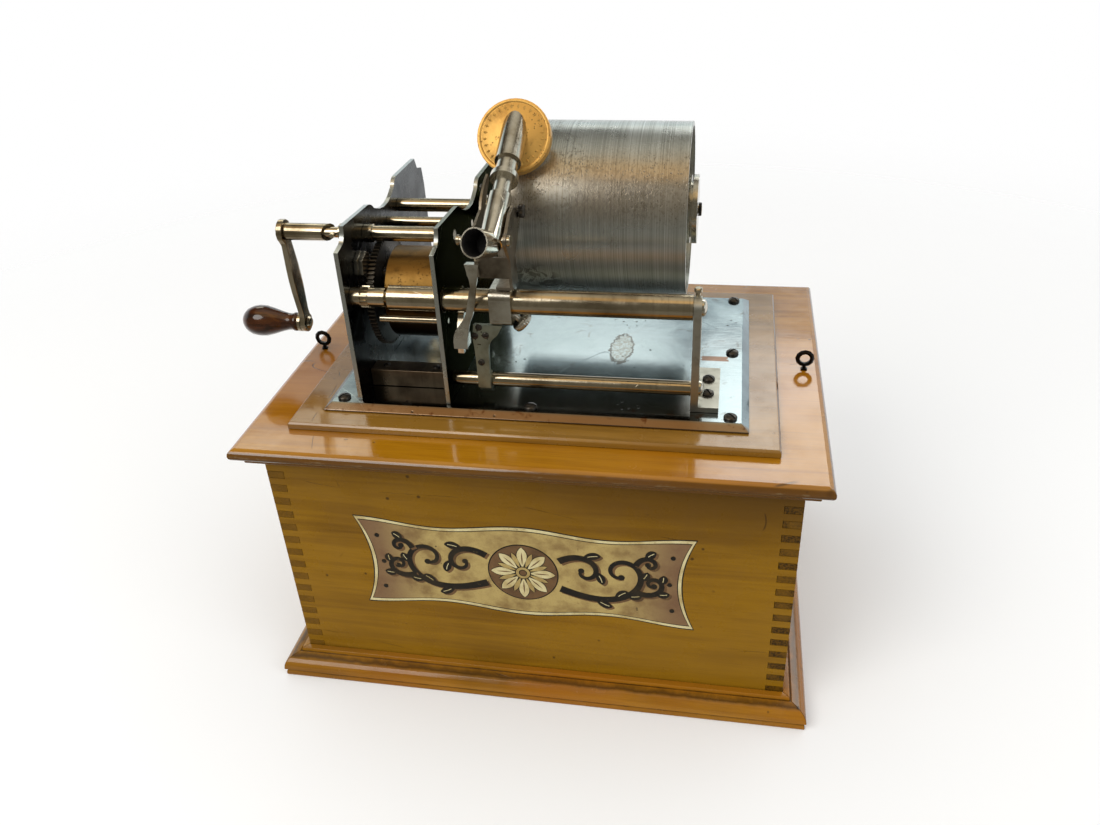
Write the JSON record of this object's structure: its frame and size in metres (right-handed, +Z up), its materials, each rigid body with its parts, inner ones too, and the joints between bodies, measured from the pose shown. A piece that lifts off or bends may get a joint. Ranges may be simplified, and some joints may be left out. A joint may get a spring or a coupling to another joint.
{
  "type": "cylinder phonograph",
  "caption": "Cylinder phonograph: comb-jointed wooden case, spring motor between steel plates, gear train, large mandrel, sliding carriage, lifting sound arm and winding crank.",
  "frame": {"origin": "centre of the case's underside", "axes": "+X to the right along the mandrel, +Y to the rear, +Z up"},
  "size_m": [0.4287, 0.2956, 0.4081],
  "materials": {
    "case_wood": "varnished ochre softwood",
    "lid_wood": "glossy amber varnish",
    "grip_wood": "dark red-brown varnish",
    "polished_steel": "polished, lightly stained",
    "black_steel": "dark, oily",
    "mandrel_metal": "turned, with dark specks",
    "brass": "golden, slightly tarnished",
    "mica": "thin pale sheet"
  },
  "bodies": {
    "case_and_frame": {"bottom_board": "case_wood", "front_board": "case_wood", "right_board": "case_wood", "rear_board": "case_wood", "left_board": "case_wood", "plinth_front": "lid_wood", "plinth_right": "lid_wood", "plinth_rear": "lid_wood", "plinth_left": "lid_wood", "top_board": "lid_wood", "screw_eye_left": "black_steel", "screw_eye_right": "black_steel", "motor_pad": "lid_wood", "bedplate": "polished_steel", "left_frame_plate": "black_steel", "right_frame_plate": "black_steel", "front_foot_bar": "black_steel", "rear_foot_bar": "black_steel", "top_pillar": "polished_steel", "rear_pillar": "polished_steel", "lower_stay_rod": "polished_steel", "lower_guide_rod": "polished_steel", "guide_tube": "polished_steel", "end_bracket": "polished_steel", "click_stud": "polished_steel", "governor_brake": "black_steel"},
    "winding_crank": {"winding_shaft": "polished_steel", "winding_pinion": "polished_steel", "crank_sleeve": "polished_steel", "crank_arm": "polished_steel", "grip_spindle": "polished_steel"},
    "crank_grip": {"grip": "grip_wood"},
    "ratchet_click": {"click": "polished_steel"},
    "winding_arbor": {"barrel_arbor": "polished_steel", "winding_wheel": "polished_steel"},
    "spring_drum": {"spring_barrel": "brass", "great_wheel": "polished_steel", "mainspring": "black_steel"},
    "middle_spindle": {"middle_arbor": "polished_steel", "middle_wheel": "brass"},
    "mandrel_drum": {"mandrel_shaft": "polished_steel", "mandrel": "mandrel_metal", "mandrel_end_hub": "polished_steel", "mandrel_nut": "black_steel"},
    "governor_drive": {"governor_drive_arbor": "polished_steel", "governor_wheel": "brass"},
    "governor": {"governor_arbor": "polished_steel", "governor_head": "brass"},
    "feed_spindle": {"feed_screw": "polished_steel"},
    "carriage": {"carriage_block": "polished_steel", "carriage_yoke": "polished_steel", "guide_foot": "polished_steel", "feed_arm": "polished_steel"},
    "nut_lever": {"half_nut": "polished_steel"},
    "sound_arm": {"horn_elbow": "polished_steel", "sound_tube": "polished_steel", "reproducer_body": "brass", "diaphragm": "mica", "stylus": "polished_steel"}
  },
  "joints": [
    {"name": "winding_turn", "type": "hinge", "parent": "case_and_frame", "child": "winding_crank", "pos_m": [0, -0.04, 0.3285], "axis": [1, 0, 0], "continuous": true},
    {"name": "grip_spin", "type": "hinge", "parent": "winding_crank", "child": "crank_grip", "pos_m": [-0.2, -0.034, 0.255], "axis": [1, 0, 0], "continuous": true},
    {"name": "winding_arbor_turn", "type": "hinge", "parent": "case_and_frame", "child": "winding_arbor", "pos_m": [0, -0.0362, 0.2846], "axis": [1, 0, 0], "continuous": true},
    {"name": "click_lift", "type": "hinge", "parent": "case_and_frame", "child": "ratchet_click", "pos_m": [-0.124, -0.061, 0.314], "axis": [1, 0, 0], "range_deg": [0, 25]},
    {"name": "mandrel_spin", "type": "hinge", "parent": "case_and_frame", "child": "mandrel_drum", "pos_m": [0, 0.032, 0.323], "axis": [1, 0, 0], "continuous": true},
    {"name": "middle_spin", "type": "hinge", "parent": "case_and_frame", "child": "middle_spindle", "pos_m": [0, 0.00779, 0.28764], "axis": [1, 0, 0], "continuous": true},
    {"name": "drum_spin", "type": "hinge", "parent": "case_and_frame", "child": "spring_drum", "pos_m": [0, -0.0362, 0.2846], "axis": [1, 0, 0], "continuous": true},
    {"name": "feed_spin", "type": "hinge", "parent": "case_and_frame", "child": "feed_spindle", "pos_m": [0, -0.078, 0.2987], "axis": [1, 0, 0], "continuous": true},
    {"name": "governor_drive_spin", "type": "hinge", "parent": "case_and_frame", "child": "governor_drive", "pos_m": [0, 0.0449, 0.26622], "axis": [1, 0, 0], "continuous": true},
    {"name": "governor_spin", "type": "hinge", "parent": "case_and_frame", "child": "governor", "pos_m": [0, 0.03126, 0.25257], "axis": [1, 0, 0], "continuous": true},
    {"name": "carriage_slide", "type": "slide", "parent": "case_and_frame", "child": "carriage", "axis": [1, 0, 0], "range_m": [-0.006, 0.1]},
    {"name": "nut_release", "type": "hinge", "parent": "carriage", "child": "nut_lever", "pos_m": [-0.045, -0.086, 0.274], "axis": [1, 0, 0], "range_deg": [-14, 0], "stiffness_Nm_per_rad": 0.02, "springref_deg": 5.73},
    {"name": "arm_lift", "type": "hinge", "parent": "carriage", "child": "sound_arm", "pos_m": [-0.017, -0.092, 0.346], "axis": [1, 0, 0], "range_deg": [0, 50]}
  ],
  "couplings": [
    {"joint": "winding_arbor_turn", "follows": "winding_turn", "ratio": -0.20833},
    {"joint": "middle_spin", "follows": "mandrel_spin", "ratio": -0.1875},
    {"joint": "drum_spin", "follows": "mandrel_spin", "ratio": 0.0325},
    {"joint": "feed_spin", "follows": "mandrel_spin", "ratio": -0.1875},
    {"joint": "governor_drive_spin", "follows": "mandrel_spin", "ratio": 1},
    {"joint": "governor_spin", "follows": "mandrel_spin", "ratio": -3}
  ]
}
